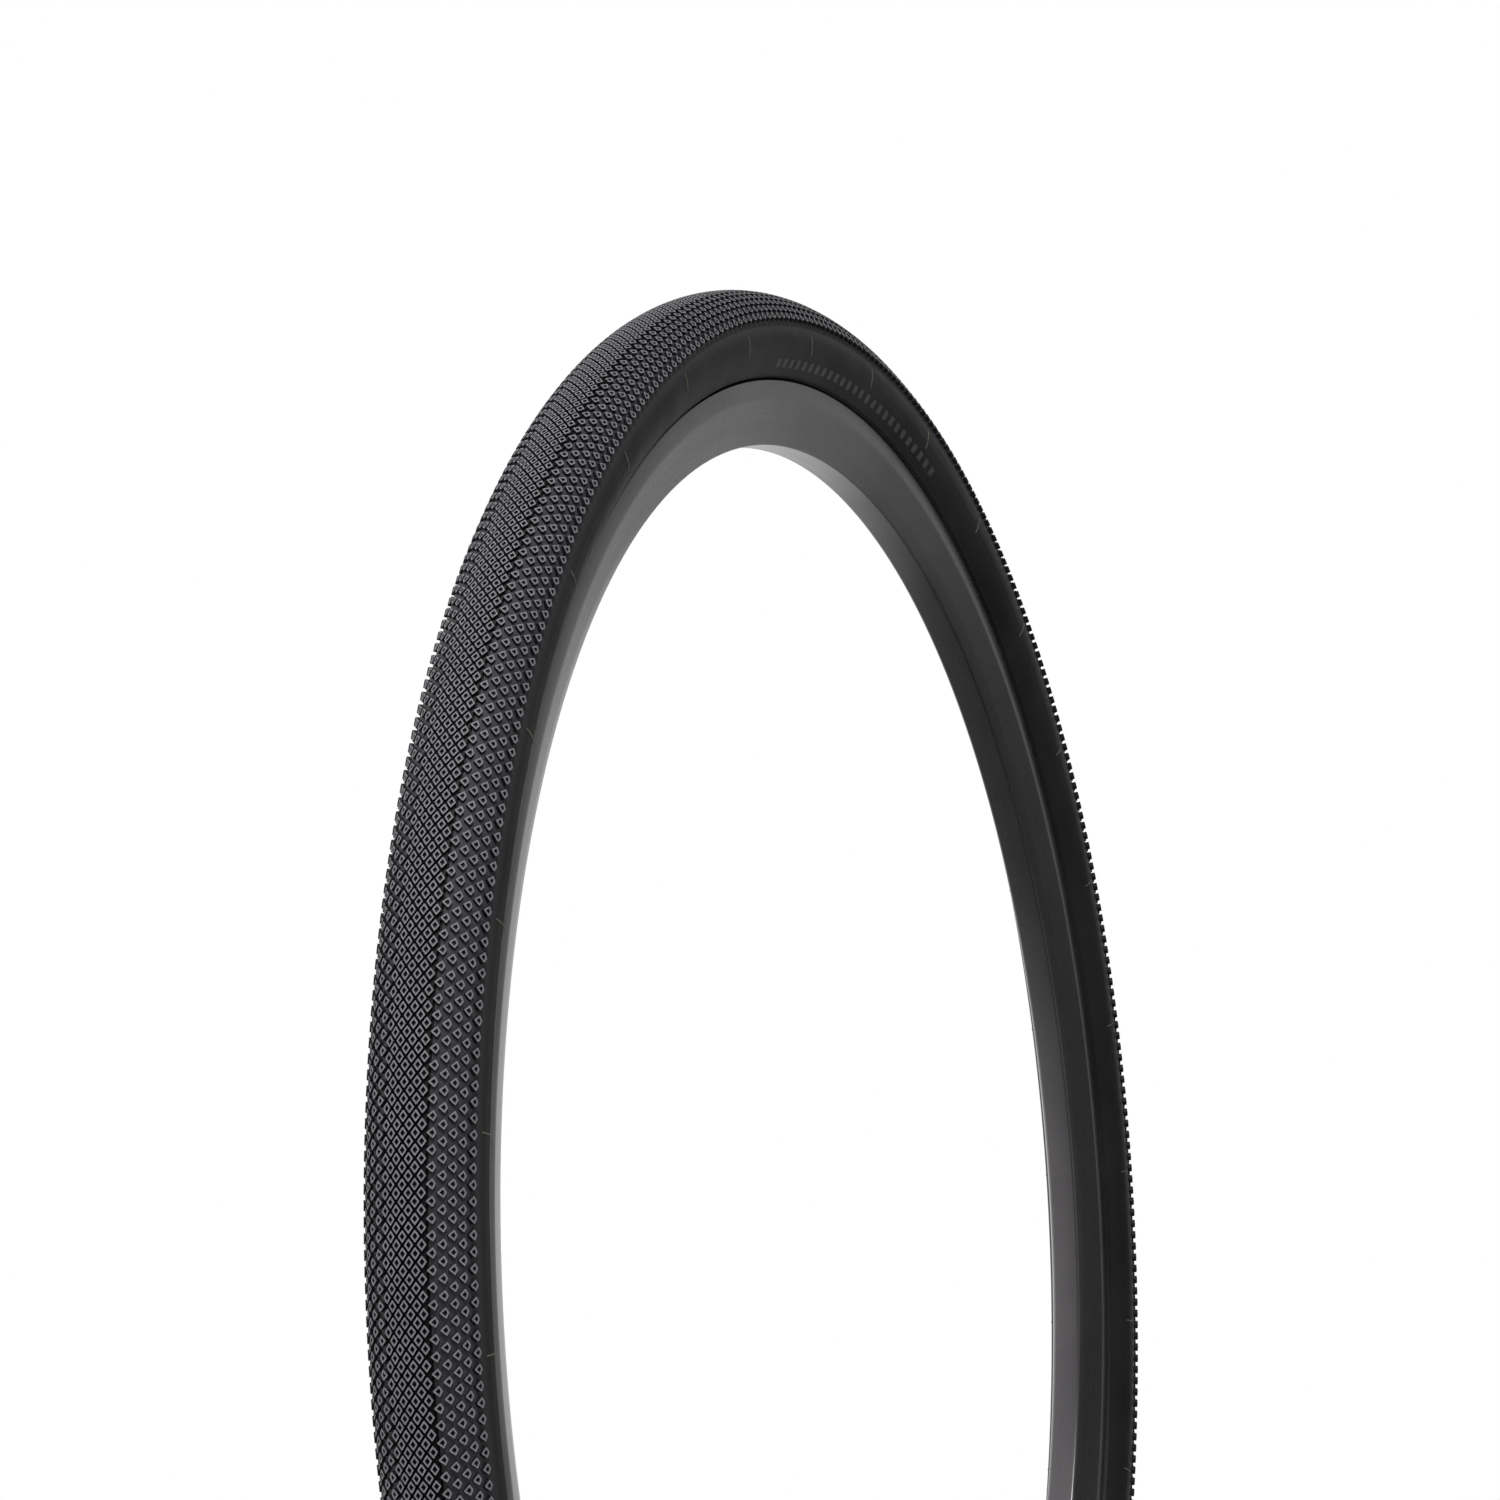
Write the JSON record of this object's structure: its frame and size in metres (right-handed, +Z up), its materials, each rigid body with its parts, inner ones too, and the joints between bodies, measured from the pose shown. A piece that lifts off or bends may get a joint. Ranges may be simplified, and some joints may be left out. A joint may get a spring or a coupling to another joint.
{
  "type": "bicycle tire on rim",
  "caption": "Knobbed gravel bicycle tire seated on a deep double-wall rim, with tube, beads and a capped lift-off valve.",
  "frame": {"origin": "wheel centre, where the axle line crosses the tire's middle plane", "axes": "+Y along the axle towards the left side, +Z up, +X forward; the valve stands at the bottom and points up at the hub"},
  "size_m": [0.701, 0.038, 0.701],
  "materials": {
    "tread_rubber": "matt knobbed rubber",
    "sidewall_rubber": "satin rubber",
    "casing_nylon": "rubberised cord",
    "aramid_cord": "woven aramid",
    "chafer_fabric": "rubberised cloth",
    "tube_rubber": "smooth butyl",
    "rim_tape_cloth": "woven tape",
    "rim_anodised": "satin dark anodised",
    "raw_aluminium": "mill finish",
    "nickelled_brass": "nickel plated",
    "valve_brass": "turned brass",
    "seal_rubber": "moulded rubber",
    "cap_plastic": "moulded plastic"
  },
  "bodies": {
    "tire_and_rim": {"tread_cap": "tread_rubber", "breaker_belt": "aramid_cord", "casing_ply": "casing_nylon", "sidewall_left": "sidewall_rubber", "sidewall_right": "sidewall_rubber", "bead_core_left": "aramid_cord", "bead_core_right": "aramid_cord", "chafer_left": "chafer_fabric", "chafer_right": "chafer_fabric", "inner_tube": "tube_rubber", "rim_tape": "rim_tape_cloth", "rim": "rim_anodised", "rim_joint_sleeve": "raw_aluminium", "valve_patch": "tube_rubber", "valve_stem": "nickelled_brass", "valve_core_body": "valve_brass"},
    "plunger": {"valve_plunger": "valve_brass", "valve_plunger_seal": "seal_rubber"},
    "tip_nut": {"valve_tip_nut": "valve_brass"},
    "lock_nut": {"valve_lock_nut": "nickelled_brass"},
    "cap": {"valve_cap": "cap_plastic"}
  },
  "joints": [
    {"name": "cap_pull", "type": "slide", "parent": "tire_and_rim", "child": "cap", "axis": [0, 0, 1], "range_m": [0, 0.03]},
    {"name": "lock_nut_travel", "type": "slide", "parent": "tire_and_rim", "child": "lock_nut", "axis": [0, 0, 1], "range_m": [0, 0.01]},
    {"name": "tip_nut_turn", "type": "hinge", "parent": "tire_and_rim", "child": "tip_nut", "pos_m": [0, 0, -0.265], "axis": [0, 0, 1], "range_deg": [0, 1081]},
    {"name": "plunger_travel", "type": "slide", "parent": "tire_and_rim", "child": "plunger", "axis": [0, 0, 1], "range_m": [-0.0024, 0]}
  ],
  "couplings": [
    {"joint": "tip_nut_turn", "follows": "plunger_travel", "rad_per_m": -7854}
  ]
}
